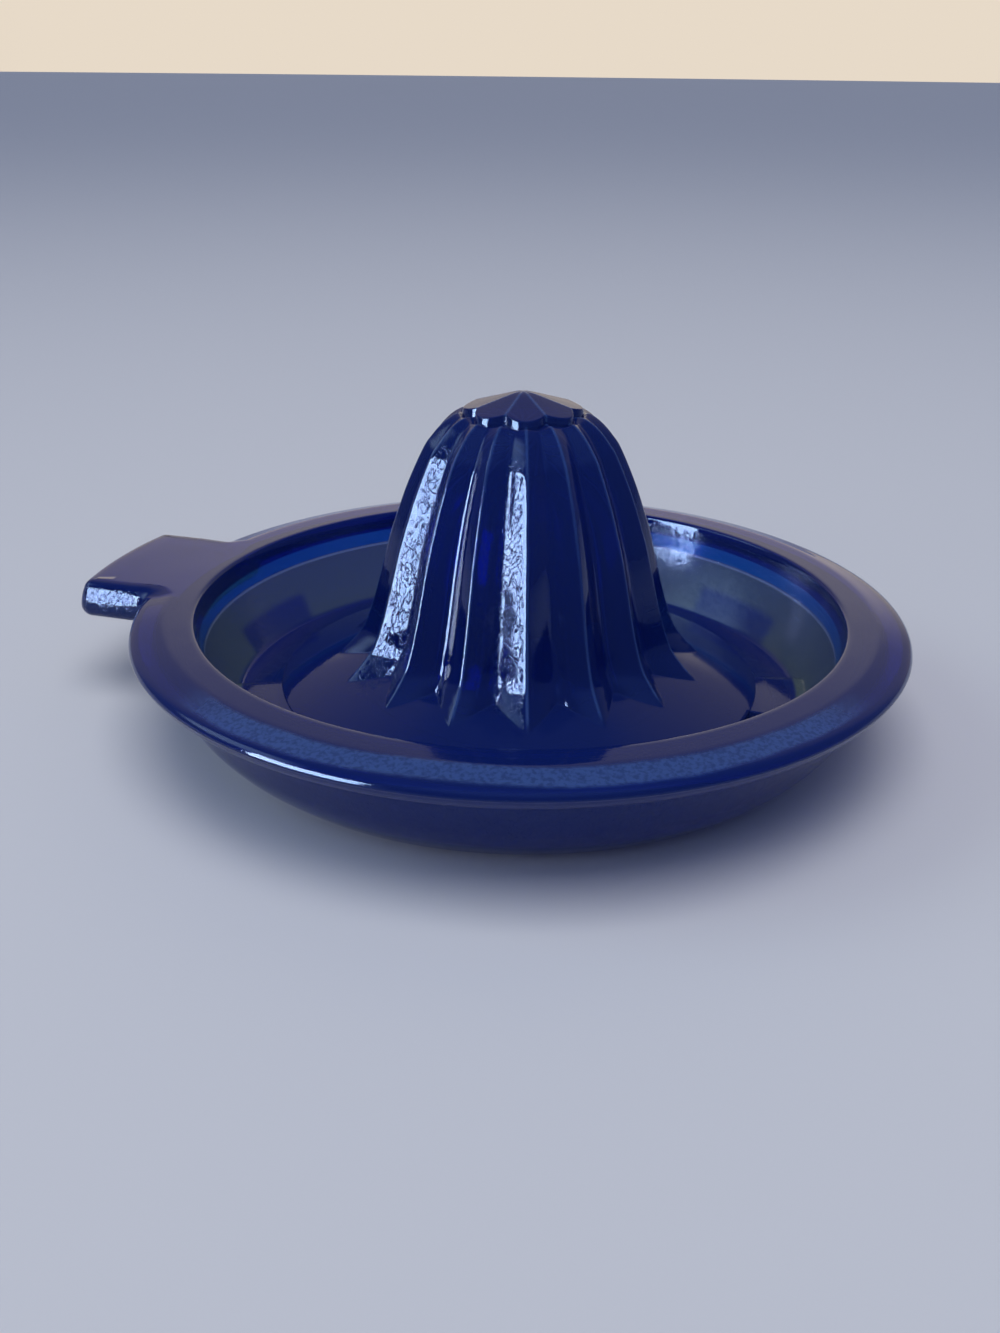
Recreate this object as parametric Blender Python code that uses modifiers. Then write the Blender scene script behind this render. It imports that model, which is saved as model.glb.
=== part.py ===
"""A hand citrus reamer pressed in one piece of cobalt blue glass.

A ribbed, hollow cone stands on a sloping platform in the middle of a dish. A trough runs round
the platform and is crossed by two low dams. The flat rim carries a tab handle on -X and a
pouring spout on +Y. Metres, +Z up. The foot ring stands on z = 0 and the origin is the centre
of the whole outline, so the axis of the bowl lies a little beside it.
"""

import math

import bmesh
import bpy
from mathutils import Vector

# Rim, measured from the axis of the bowl
RIM_RADIUS = 0.0760
RIM_WIDTH = 0.0122
RIM_HEIGHT = 0.0243
RIM_THICKNESS = 0.0053
RIM_INNER_ROUNDING = 0.0008

# Outside of the bowl, from the rim down to the foot ring: how far each edge lies inside the rim
SHOULDER_INSET = 0.0059
HAUNCH_INSET = 0.0097
HAUNCH_HEIGHT = 0.0091
FOOT_INSET = 0.0199
FOOT_WIDTH = 0.0054
FOOT_RECESS = 0.0022

# Inside of the bowl
WALL_DROP = 0.0064
WALL_DRAFT = 0.0005
WALL_SLOPE_WIDTH = 0.0071
TROUGH_HEIGHT = 0.0064
TROUGH_WIDTH = 0.0085
PLATFORM_STEP = 0.0026
PLATFORM_SLOPE = math.radians(19.5)
DAM_DROP = 0.0002
DAM_CENTRES = (math.radians(4.1), math.radians(213.3))
DAM_ANGLE = math.radians(20.5)

# Cone. Half of the ribs run on as ridges to the tip, so their number is even
TIP_HEIGHT = 0.0662
CONE_FOOT_RADIUS = 0.0365
RIBS = 16
FIRST_RIB = math.radians(-4.7)
GROOVE_POWER = 1.2
CAP_SLOPE = math.radians(17.0)
# Plan radius of the cap's edge over the foot radius, at a ridge and between two ridges
CAP_RIDGE_SHARE = 0.260
CAP_PETAL_SHARE = 0.310
# Side of the cone: share of the way up from the platform to the cap, crest radius over the
# foot radius, and groove depth over the distance from one crest to the next
CONE_SIDE = (
    (0.000, 1.000, 0.470),
    (0.040, 0.937, 0.385),
    (0.105, 0.865, 0.310),
    (0.190, 0.815, 0.270),
    (0.340, 0.757, 0.262),
    (0.510, 0.694, 0.262),
    (0.680, 0.620, 0.262),
    (0.800, 0.545, 0.255),
    (0.895, 0.478, 0.235),
    (0.950, 0.412, 0.200),
    (0.985, 0.350, 0.150),
)

# Hollow under the cone
CONE_WALL = 0.0045
CAVITY_TOP_WALL = 0.0120
CAVITY_DOME_SHARE = 0.4
CAVITY_FLARE = 0.0035
CAVITY_FLARE_HEIGHT = 0.0080

# Tab handle
TAB_LENGTH = 0.0152
TAB_WIDTH = 0.0360
TAB_THICKNESS = 0.0076
TAB_CORNER_RADIUS = 0.0032
TAB_ROOT_FILLET = 0.0015
TAB_EDGE_ROUNDING = 0.0026

# Pouring spout
SPOUT_LENGTH = 0.0050
SPOUT_WIDTH = 0.0150
SPOUT_DEPTH = 0.0040
SPOUT_WALL = 0.0024
SPOUT_TAPER = 0.80
SPOUT_OVERRUN = 0.0080

# Facets, and how far one shape reaches into the next
TURN_STEPS = 64
COLUMNS_PER_RIB = 4
ARC_STEPS = 6
SMALL_ARC_STEPS = 3
EDGE_STEPS = 2
SPOUT_STEPS = 48
EMBED = 0.0020

RIM_INNER_RADIUS = RIM_RADIUS - RIM_WIDTH
RIM_UNDERSIDE = RIM_HEIGHT - RIM_THICKNESS
FOOT_RADIUS = RIM_RADIUS - FOOT_INSET
FOOT_INNER_RADIUS = FOOT_RADIUS - FOOT_WIDTH
WALL_BREAK = (RIM_INNER_RADIUS - WALL_DRAFT, RIM_HEIGHT - WALL_DROP)
TROUGH_OUTER_RADIUS = WALL_BREAK[0] - WALL_SLOPE_WIDTH
PLATFORM_RADIUS = TROUGH_OUTER_RADIUS - TROUGH_WIDTH
PLATFORM_HEIGHT = TROUGH_HEIGHT + PLATFORM_STEP
CONE_BASE_HEIGHT = PLATFORM_HEIGHT + (PLATFORM_RADIUS - CONE_FOOT_RADIUS) * math.tan(PLATFORM_SLOPE)
CAP_EDGE_HEIGHT = TIP_HEIGHT - CAP_PETAL_SHARE * CONE_FOOT_RADIUS * math.tan(CAP_SLOPE)
TAB_REACH = RIM_RADIUS + TAB_LENGTH
SPOUT_REACH = RIM_RADIUS + SPOUT_LENGTH

# The foot stands on z = 0 and the outline is centred on the origin
BOWL_X = (TAB_REACH - RIM_RADIUS) / 2
BOWL_Y = -(SPOUT_REACH - RIM_RADIUS) / 2


def clear_scene():
    for obj in list(bpy.data.objects):
        bpy.data.objects.remove(obj, do_unlink=True)


def make_collection(name):
    collection = bpy.data.collections.new(name)
    bpy.context.scene.collection.children.link(collection)
    return collection


def cobalt_glass():
    material = bpy.data.materials.new("cobalt_glass")
    material.use_nodes = True
    shader = material.node_tree.nodes["Principled BSDF"]
    shader.inputs["Base Color"].default_value = (0.006, 0.012, 0.22, 1.0)
    shader.inputs["Roughness"].default_value = 0.04
    shader.inputs["Metallic"].default_value = 0.0
    shader.inputs["IOR"].default_value = 1.52
    shader.inputs["Transmission Weight"].default_value = 1.0
    return material


def arc(centre, radius, start, end, steps=ARC_STEPS):
    """Points of an arc in the plane of a profile, ends included."""
    angles = [start + (end - start) * step / steps for step in range(steps + 1)]
    return [(centre[0] + radius * math.cos(a), centre[1] + radius * math.sin(a)) for a in angles]


def link_mesh(name, bm, collection):
    mesh = bpy.data.meshes.new(name)
    bmesh.ops.recalc_face_normals(bm, faces=bm.faces)
    bm.to_mesh(mesh)
    bm.free()
    obj = bpy.data.objects.new(name, mesh)
    collection.objects.link(obj)
    return obj


def turned(name, profile, collection):
    """A solid turned from a profile that runs from the axis out, down its outer side and back."""
    mesh = bpy.data.meshes.new(name)
    edges = [(i, i + 1) for i in range(len(profile) - 1)]
    mesh.from_pydata([(radius, 0, height) for radius, height in profile], edges, [])
    obj = bpy.data.objects.new(name, mesh)
    collection.objects.link(obj)
    screw = obj.modifiers.new("turn", "SCREW")
    screw.steps = TURN_STEPS
    screw.render_steps = TURN_STEPS
    screw.use_merge_vertices = True
    screw.merge_threshold = 0.00001
    return obj


def extruded(name, outline, bottom, top, collection, rounding=0.0):
    """A flat outline as a 2D curve with half its thickness each way, then made a closed mesh."""
    curve = bpy.data.curves.new(name, "CURVE")
    curve.dimensions = "2D"
    curve.fill_mode = "BOTH"
    curve.extrude = (top - bottom) / 2 - rounding
    curve.bevel_depth = rounding
    curve.bevel_resolution = EDGE_STEPS
    curve.offset = -rounding
    spline = curve.splines.new("POLY")
    spline.points.add(len(outline) - 1)
    for point, (x, y) in zip(spline.points, outline):
        point.co = (x, y, 0, 1)
    spline.use_cyclic_u = True
    guide = bpy.data.objects.new(name + "_outline", curve)
    collection.objects.link(guide)
    graph = bpy.context.evaluated_depsgraph_get()
    bm = bmesh.new()
    bm.from_mesh(bpy.data.meshes.new_from_object(guide.evaluated_get(graph)))
    bpy.data.objects.remove(guide, do_unlink=True)
    bmesh.ops.remove_doubles(bm, verts=bm.verts, dist=0.00001)
    bmesh.ops.translate(bm, verts=bm.verts, vec=(0, 0, (top + bottom) / 2))
    return link_mesh(name, bm, collection)


def dish(collection):
    """The bowl: rim, wall, trough and platform on top, foot ring and recess underneath."""
    half = RIM_THICKNESS / 2
    inner_edge = (RIM_INNER_RADIUS + RIM_INNER_ROUNDING, RIM_HEIGHT - RIM_INNER_ROUNDING)
    outer_edge = (RIM_RADIUS - half, RIM_HEIGHT - half)
    profile = [(0, CONE_BASE_HEIGHT), (CONE_FOOT_RADIUS, CONE_BASE_HEIGHT)]
    profile += [(PLATFORM_RADIUS, PLATFORM_HEIGHT), (PLATFORM_RADIUS, TROUGH_HEIGHT)]
    profile += [(TROUGH_OUTER_RADIUS, TROUGH_HEIGHT), WALL_BREAK]
    profile += arc(inner_edge, RIM_INNER_ROUNDING, math.pi, math.pi / 2, SMALL_ARC_STEPS)
    profile += arc(outer_edge, half, math.pi / 2, -math.pi / 2, 2 * ARC_STEPS)
    profile.append((RIM_RADIUS - SHOULDER_INSET, RIM_UNDERSIDE))
    profile += [(RIM_RADIUS - HAUNCH_INSET, HAUNCH_HEIGHT), (FOOT_RADIUS, 0), (FOOT_INNER_RADIUS, 0)]
    profile += [(FOOT_INNER_RADIUS - FOOT_RECESS, FOOT_RECESS), (0, FOOT_RECESS)]
    return turned("dish", profile, collection)


def cap_point(angle):
    """Plan radius and height of the scalloped edge of the faceted cap, from a ridge on."""
    pitch = 4 * math.pi / RIBS
    from_facet = (angle % pitch) - pitch / 2
    bulge = math.cos(math.pi * from_facet / pitch)
    share = CAP_RIDGE_SHARE + (CAP_PETAL_SHARE - CAP_RIDGE_SHARE) * bulge
    radius = share * CONE_FOOT_RADIUS
    return radius, TIP_HEIGHT - radius * math.cos(from_facet) * math.tan(CAP_SLOPE)


def side_height(share):
    return CONE_BASE_HEIGHT + share * (CAP_EDGE_HEIGHT - CONE_BASE_HEIGHT)


def rib_radius(column, crest, depth):
    """Plan radius of a column, on a crest, on a flank or on the rounded floor of a groove."""
    pitch = 2 * math.pi / RIBS
    step = column % COLUMNS_PER_RIB
    from_crest = min(step, COLUMNS_PER_RIB - step) / COLUMNS_PER_RIB
    return crest - depth * crest * pitch * math.sin(math.pi * from_crest) ** GROOVE_POWER


def cone_rings():
    """Rings of points from the tip down to below the platform."""
    columns = RIBS * COLUMNS_PER_RIB
    angles = [2 * math.pi * column / columns for column in range(columns)]
    edge = [cap_point(angle) for angle in angles]
    rings = []
    for share in (0.5, 1.0):
        rings.append([(share * r, TIP_HEIGHT - share * (TIP_HEIGHT - z)) for r, z in edge])
    for share, crest, depth in reversed(CONE_SIDE):
        radii = [rib_radius(column, crest * CONE_FOOT_RADIUS, depth) for column in range(columns)]
        rings.append([(radius, side_height(share)) for radius in radii])
    rings.append([(radius, CONE_BASE_HEIGHT - EMBED) for radius, height in rings[-1]])
    return rings, [angle + FIRST_RIB for angle in angles]


def ribbed_cone(collection):
    """A loft from the tip through the faceted cap and the star-shaped sections to the foot."""
    rings, angles = cone_rings()
    bm = bmesh.new()
    tip = bm.verts.new((0, 0, TIP_HEIGHT))
    rows = []
    for ring in rings:
        points = [(r * math.cos(a), r * math.sin(a), z) for (r, z), a in zip(ring, angles)]
        rows.append([bm.verts.new(point) for point in points])
    count = len(angles)
    for i in range(count):
        bm.faces.new((tip, rows[0][i], rows[0][(i + 1) % count]))
    for upper, lower in zip(rows, rows[1:]):
        for i in range(count):
            j = (i + 1) % count
            bm.faces.new((upper[i], lower[i], lower[j], upper[j]))
    bm.faces.new(list(reversed(rows[-1])))
    return link_mesh("ribbed_cone", bm, collection)


def cavity(collection):
    """The hollow under the cone, one wall thickness inside the floors of the grooves."""
    groove = COLUMNS_PER_RIB // 2
    top = TIP_HEIGHT - CAVITY_TOP_WALL
    walls = []
    for share, crest, depth in CONE_SIDE:
        radius = rib_radius(groove, crest * CONE_FOOT_RADIUS, depth) - CONE_WALL
        if side_height(share) < top - CAVITY_DOME_SHARE * radius:
            walls.append((radius, side_height(share)))
    walls.reverse()
    dome_radius, dome_height = walls[0]
    rise = top - dome_height
    dome = arc((0, 0), 1.0, math.pi / 2, 0.0)[1:-1]
    profile = [(0, top)] + [(dome_radius * x, dome_height + rise * y) for x, y in dome] + walls
    profile.append((walls[-1][0], CAVITY_FLARE_HEIGHT))
    mouth = walls[-1][0] + CAVITY_FLARE
    profile += [(mouth, FOOT_RECESS), (mouth, -EMBED), (0, -EMBED)]
    return turned("cavity", profile, collection)


def dam(name, centre, collection):
    """A low bridge across the trough, sunk into the platform, the floor and the wall."""
    slope = (WALL_BREAK[0] - TROUGH_OUTER_RADIUS) / (WALL_BREAK[1] - TROUGH_HEIGHT)
    top = PLATFORM_HEIGHT - DAM_DROP
    inner = PLATFORM_RADIUS - EMBED / 2
    outer = TROUGH_OUTER_RADIUS + slope * (top - TROUGH_HEIGHT) + EMBED / 2
    start = centre - DAM_ANGLE / 2
    end = centre + DAM_ANGLE / 2
    outline = arc((0, 0), inner, start, end) + arc((0, 0), outer, end, start)
    return extruded(name, outline, TROUGH_HEIGHT - EMBED / 2, top, collection)


def fillet_centre():
    """Centre of the round that joins the rim's circle to the tab's straight side."""
    y = TAB_WIDTH / 2 + TAB_ROOT_FILLET
    x = math.sqrt((RIM_RADIUS + TAB_ROOT_FILLET) ** 2 - y**2)
    return x, y


def tab(collection):
    """The handle: a thick tab with parallel sides, an arched end and rounded edges."""
    half = TAB_WIDTH / 2
    corner = half - TAB_CORNER_RADIUS
    end_centre = math.sqrt((TAB_REACH - TAB_CORNER_RADIUS) ** 2 - corner**2)
    turn = math.atan2(corner, end_centre)
    x, y = fillet_centre()
    touch = math.atan2(y, x)
    root = (WALL_BREAK[0] + RIM_RADIUS - SHOULDER_INSET) / 2
    side = arc((0, 0), root, 0.0, touch)
    side += arc((x, y), TAB_ROOT_FILLET, touch + math.pi, 1.5 * math.pi)
    side += arc((end_centre, corner), TAB_CORNER_RADIUS, math.pi / 2, turn)
    front = arc((0, 0), TAB_REACH, turn, 0.0)[1:]
    upper = side + front
    outline = upper + [(px, -py) for px, py in reversed(upper[1:-1])]
    outline = [(-px, -py) for px, py in outline]
    bottom = RIM_HEIGHT - TAB_THICKNESS
    return extruded("tab", outline, bottom, RIM_HEIGHT, collection, TAB_EDGE_ROUNDING)


def spout_radius():
    """Radius of the channel whose chord is SPOUT_WIDTH and whose depth is SPOUT_DEPTH."""
    return (SPOUT_WIDTH**2 / 4 + SPOUT_DEPTH**2) / (2 * SPOUT_DEPTH)


def taper_along_y(name, radius, start, end, height, collection):
    """A round taper along +Y, full size at the inside of the rim and smaller at the lip."""
    length = SPOUT_REACH - RIM_INNER_RADIUS
    sizes = [radius * (1 - (1 - SPOUT_TAPER) * (y - RIM_INNER_RADIUS) / length) for y in (start, end)]
    bm = bmesh.new()
    bmesh.ops.create_cone(
        bm, cap_ends=True, segments=SPOUT_STEPS, radius1=sizes[0], radius2=sizes[1], depth=end - start
    )
    onto_y = Vector((0, 0, 1)).rotation_difference(Vector((0, 1, 0))).to_matrix()
    bmesh.ops.rotate(bm, verts=bm.verts, matrix=onto_y)
    bmesh.ops.translate(bm, verts=bm.verts, vec=(0, (start + end) / 2, height))
    return link_mesh(name, bm, collection)


def spout(collection):
    """The lip that stands out from the rim, and the channel that is cut through both."""
    radius = spout_radius()
    axis_height = RIM_HEIGHT - SPOUT_DEPTH + radius
    root = (RIM_INNER_RADIUS + RIM_RADIUS) / 2
    lip = taper_along_y("spout_lip", radius + SPOUT_WALL, root, SPOUT_REACH, axis_height, collection)
    bm = bmesh.new()
    bmesh.ops.create_cube(bm, size=1.0)
    room = 2 * SPOUT_REACH
    bmesh.ops.scale(bm, verts=bm.verts, vec=(room, room, room))
    bmesh.ops.translate(bm, verts=bm.verts, vec=(0, RIM_RADIUS, RIM_HEIGHT + room / 2))
    above = link_mesh("above_rim", bm, collection)
    add_boolean(lip, above, "DIFFERENCE")
    start = RIM_INNER_RADIUS - SPOUT_OVERRUN
    end = SPOUT_REACH + EMBED
    channel = taper_along_y("spout_channel", radius, start, end, axis_height, collection)
    return lip, channel


def add_boolean(obj, other, operation):
    modifier = obj.modifiers.new(other.name, "BOOLEAN")
    modifier.object = other
    modifier.operation = operation
    modifier.solver = "EXACT"


def main():
    clear_scene()
    parts = make_collection("citrus_reamer")
    helpers = make_collection("cutters")
    body = dish(parts)
    body.name = "reamer_body"
    body.data.materials.append(cobalt_glass())
    lip, channel = spout(helpers)
    joined = [ribbed_cone(helpers), tab(helpers), lip]
    joined += [dam(f"dam_{i + 1}", centre, helpers) for i, centre in enumerate(DAM_CENTRES)]
    for other in joined:
        add_boolean(body, other, "UNION")
    for other in (cavity(helpers), channel):
        add_boolean(body, other, "DIFFERENCE")
    centre = bpy.data.objects.new("bowl_axis", None)
    parts.objects.link(centre)
    centre.location = (BOWL_X, BOWL_Y, 0)
    for obj in list(helpers.objects) + [body]:
        obj.parent = centre
    for obj in helpers.objects:
        obj.hide_render = True
        obj.display_type = "WIRE"


main()
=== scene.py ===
import math

import bmesh
import bpy
import numpy as np
from mathutils import Matrix, Vector


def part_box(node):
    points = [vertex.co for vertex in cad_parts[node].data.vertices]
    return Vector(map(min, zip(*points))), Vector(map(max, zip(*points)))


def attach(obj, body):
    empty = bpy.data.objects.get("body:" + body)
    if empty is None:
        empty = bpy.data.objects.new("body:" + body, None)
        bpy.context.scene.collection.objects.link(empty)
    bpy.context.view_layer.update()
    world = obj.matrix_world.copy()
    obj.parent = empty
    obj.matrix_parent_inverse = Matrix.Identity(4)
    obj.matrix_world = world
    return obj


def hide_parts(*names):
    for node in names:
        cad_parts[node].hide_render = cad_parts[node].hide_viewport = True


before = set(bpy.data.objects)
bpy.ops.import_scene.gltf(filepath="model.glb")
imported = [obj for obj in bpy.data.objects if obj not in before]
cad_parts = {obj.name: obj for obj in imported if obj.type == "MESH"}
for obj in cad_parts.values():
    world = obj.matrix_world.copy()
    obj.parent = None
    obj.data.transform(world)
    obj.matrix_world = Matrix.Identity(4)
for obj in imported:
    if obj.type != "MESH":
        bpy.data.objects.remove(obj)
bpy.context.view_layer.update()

bodyLow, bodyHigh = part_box("reamer_body")

# The glass is shaped in millimetres round the axis of the bowl, then put in place in metres.
# Each dictionary's numbers called rows, steps or columns say how fine its part of the mesh is
mm = 0.001
tau = 2 * math.pi

rim = {
    "radius": 76.0, "innerRadius": 63.8, "thickness": 5.3, "height": 24.3,
    "wallRounding": 0.9, "flatStart": 1.3, "flatRows": 6, "rowsBetween": 1, "undersideRows": 4,
    # inset and drop of the edge: crown, round, mould seam and lower round
    "edge": (
        (6.6, 0.0), (6.1, 0.05), (5.2, 0.24), (4.2, 0.50), (3.2, 0.75), (2.2, 0.99),
        (1.25, 1.27), (0.62, 1.60), (0.22, 2.08), (0.0, 2.72), (0.13, 2.88), (0.35, 3.45),
        (0.80, 4.10), (1.45, 4.75), (2.30, 5.20), (3.2, 5.3),
    ),
}
bowlAxis = Vector((bodyHigh[0] - rim["radius"] * mm, bodyLow[1] + rim["radius"] * mm, 0))
tipHeight = bodyHigh[2] / mm

# The crowding of a tab's or spout's fillet, side and corner says how closely columns stand there
tabHandle = {
    "middle": math.radians(180), "extraColumns": 30, "reach": (bowlAxis.x - bodyLow[0]) / mm,
    "width": 36.0, "corner": 3.2, "rootFillet": 1.5, "thickness": 7.6,
    "filletCrowding": 3.0, "sideCrowding": 0.5, "cornerCrowding": 2.2,
    "edge": (
        (3.6, 0.0), (3.0, 0.04), (2.4, 0.15), (1.9, 0.36), (1.50, 0.68), (1.20, 1.10),
        (0.95, 1.60), (0.70, 2.20), (0.48, 2.85), (0.28, 3.55), (0.12, 4.30), (0.0, 5.20),
        (0.12, 6.10), (0.60, 6.95), (1.40, 7.45), (2.5, 7.6),
    ),
}
pouringSpout = {
    "middle": math.radians(90), "extraColumns": 12, "reach": (bodyHigh[1] - bowlAxis.y) / mm,
    "width": 17.0, "corner": 3.0, "rootFillet": 2.5,
    "filletCrowding": 2.0, "sideCrowding": 1.0, "cornerCrowding": 2.0,
    "depthInside": 4.0, "depthAtLip": 2.2, "halfWidthInside": 8.2, "halfWidthAtLip": 6.4,
    "sidePower": 2.6, "liftUnderLip": 1.2, "liftFrom": 70.0,
}
ribs = {
    "count": 16, "first": math.radians(-4.7), "crestRounding": 0.14, "floorRounding": 0.42,
    "steps": (0.0, 0.045, 0.10, 0.18, 0.30, 0.46, 0.62, 0.77, 0.90),
    "closestColumns": math.radians(0.12),
}
cap = {
    "slope": math.radians(17), "tipRounding": 2.4, "ridgeRadius": 9.5, "petalReach": 1.8,
    "edgeRounding": 0.3, "stepRadius": 9.75, "stepHeight": 62.0, "stepRounding": 0.25,
    "stepGroove": -0.1, "rows": (0.05, 0.11, 0.17, 0.25, 0.36, 0.48, 0.61, 0.76, 0.88, 0.95),
}
# Crest of a rib from the cap to the foot: radius, height, groove depth, lift of the groove's floor
# and how far the cap's petals push it out
cone = {
    "crest": (
        (10.6, 62.25, 0.35, 0.0, 1.25), (11.7, 62.25, 0.55, 0.0, 0.7),
        (12.9, 61.80, 0.80, 0.0, 0.2), (14.5, 60.75, 1.05, 0.0, 0.0),
        (16.0, 59.30, 1.35, 0.0, 0.0), (17.3, 57.70, 1.60, 0.0, 0.0),
        (18.4, 56.20, 1.80, 0.0, 0.0), (19.9, 53.20, 2.05, 0.0, 0.0),
        (21.9, 48.60, 2.30, 0.0, 0.0), (23.3, 44.80, 2.45, 0.0, 0.0),
        (25.3, 38.80, 2.65, 0.0, 0.0), (26.9, 32.70, 2.80, 0.0, 0.0),
        (28.1, 28.10, 2.95, 0.0, 0.0), (29.7, 22.80, 3.25, 0.2, 0.0),
        (31.5, 18.50, 3.90, 0.7, 0.0), (34.2, 15.20, 5.20, 1.6, 0.0),
    ),
    "rowsBetween": 4, "footRadius": 36.5, "footGroove": 6.74, "footRounding": 0.8, "footRows": 4,
    "tiltAbove": 56.0, "noTiltBelow": 45.0,
}
dish = {
    "platformRadius": 47.7, "platformHeight": 9.0, "platformSlope": math.radians(19.5),
    "platformRounding": 0.6, "platformRows": 9, "stepRounding": 0.7,
    "troughHeight": 6.4, "troughOuter": 56.2, "troughRounding": 1.4, "troughRows": 4,
    "slopeRows": 9, "slopeHollow": 0.35,
    "wallFootRadius": 62.3, "wallFootHeight": 17.9, "wallFootRounding": 0.9, "wallRows": 3,
    "damHeight": 8.8, "damMiddles": (math.radians(4.1), math.radians(213.3)),
    "damAngle": math.radians(20.5), "damEdge": math.radians(0.9),
    "damColumns": (-0.5, -0.3, -0.1, 0.1, 0.3, 0.5),
}
underside = {
    "shoulder": (70.1, 19.0), "shoulderUnderTab": (69.6, 16.7), "shoulderFlat": 1.2,
    "shoulderRounding": 0.9,
    "wall": ((69.4, 16.0), (68.1, 12.5), (66.4, 9.1), (63.6, 5.6), (60.2, 2.6)), "wallRows": 3,
    "footOuter": 56.1, "footOuterRounding": 1.1, "footInner": 50.7, "footInnerRounding": 0.7,
    "recess": 2.2, "recessRadius": 48.5, "recessRounding": 0.9, "recessRows": 6,
    "mouthRadius": 28.8, "mouthRounding": 1.0, "mouthRows": 2,
    "hollow": (
        (25.3, 8.0), (25.2, 13.0), (23.7, 16.5), (22.3, 20.5), (21.0, 27.0), (19.9, 33.5),
        (18.4, 40.0), (16.4, 45.4), (13.4, 49.6), (8.8, 52.8), (4.4, 53.9),
    ),
    "hollowTop": 54.2, "hollowRows": 3,
}

# What each point of the blank carries beside its place, for the Geometry Nodes tree that cuts it
cutMarks = ("grooveIn", "grooveUp", "petal", "facetFall")


def ease(x):
    x = min(max(x, 0.0), 1.0)
    return x * x * (3 - 2 * x)


def row(radius, height, grooveIn=0.0, grooveUp=0.0, petal=0.0, facetFall=0.0):
    return np.array((radius, height, grooveIn, grooveUp, petal, facetFall), float)


def between(a, b, count):
    return [a + (b - a) * k / (count + 1) for k in range(1, count + 1)]


def plain(rows):    # rows that soften leaves as they are
    return [(point, 0) for point in rows]


def curveThrough(points, count):    # Catmull-Rom, with count rows between two given ones
    ends = [2 * points[0] - points[1]] + list(points) + [2 * points[-1] - points[-2]]
    rows = []
    for a, b, c, d in zip(ends, ends[1:], ends[2:], ends[3:]):
        for k in range(count + 1):
            t = k / (count + 1)
            rows.append(0.5 * (2 * b + (c - a) * t + (2 * a - 5 * b + 4 * c - d) * t ** 2
                               + (3 * b - a - 3 * c + d) * t ** 3))
    return rows + [points[-1]]


def soften(corners, steps=4, mostOfSide=0.45):    # rounds off the rows that come with a rounding
    rows = []
    for i, (here, rounding) in enumerate(corners):
        if not rounding:
            rows.append(here)
            continue
        back, onward = corners[i - 1][0] - here, corners[i + 1][0] - here
        lengths = np.linalg.norm(back[:2]), np.linalg.norm(onward[:2])
        cut = min(rounding, mostOfSide * lengths[0], mostOfSide * lengths[1])
        start, end = here + back * cut / lengths[0], here + onward * cut / lengths[1]
        for t in np.linspace(0, 1, steps + 1):
            rows.append((1 - t) ** 2 * start + 2 * t * (1 - t) * here + t * t * end)
    return rows


# Columns of points run round the bowl: on every crest and groove, closer where the dams end and
# where the tab and the spout stand out
def apart(a, b):
    return abs((a - b + math.pi) % tau - math.pi)


def columnAngles():
    steps = ribs["steps"]
    halves = list(steps) + [1.0] + [2 - s for s in reversed(steps[1:])]
    pitch = tau / ribs["count"]
    angles = [ribs["first"] + pitch * (rib + s / 2) for rib in range(ribs["count"]) for s in halves]
    extra = [middle + side * dish["damAngle"] / 2 + share * dish["damEdge"]
             for middle in dish["damMiddles"] for side in (-1, 1) for share in dish["damColumns"]]
    for bump in (tabHandle, pouringSpout):
        touch = bumpPath(bump)[2]
        extra += list(bump["middle"] + np.linspace(-touch, touch, bump["extraColumns"]))
    for angle in extra:
        if min(apart(angle, other) for other in angles) > ribs["closestColumns"]:
            angles.append(angle)
    return sorted((angle - ribs["first"]) % tau + ribs["first"] for angle in angles)


def damShare(angle):
    nearest = min(apart(angle, middle) for middle in dish["damMiddles"])
    return ease((dish["damAngle"] / 2 - nearest) / dish["damEdge"] + 0.5)


def channelDepth(x, y):    # depth of the spout's channel under the rim's top
    spout = pouringSpout
    if y <= 0:
        return 0.0
    out = min(max((y - rim["innerRadius"]) / (spout["reach"] - rim["innerRadius"]), 0), 1)
    width = spout["halfWidthInside"] + (spout["halfWidthAtLip"] - spout["halfWidthInside"]) * out
    depth = spout["depthInside"] + (spout["depthAtLip"] - spout["depthInside"]) * out
    return depth * max(0.0, 1 - abs(x / width) ** spout["sidePower"]) ** 2


def lipLift(x, y):    # how far the spout's underside rises towards its lip
    spout = pouringSpout
    if y <= spout["liftFrom"]:
        return 0.0
    out = ease((y - spout["liftFrom"]) / (spout["reach"] - spout["liftFrom"]))
    return spout["liftUnderLip"] * out * max(0.0, 1 - (2 * x / spout["width"]) ** 2) ** 2


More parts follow.
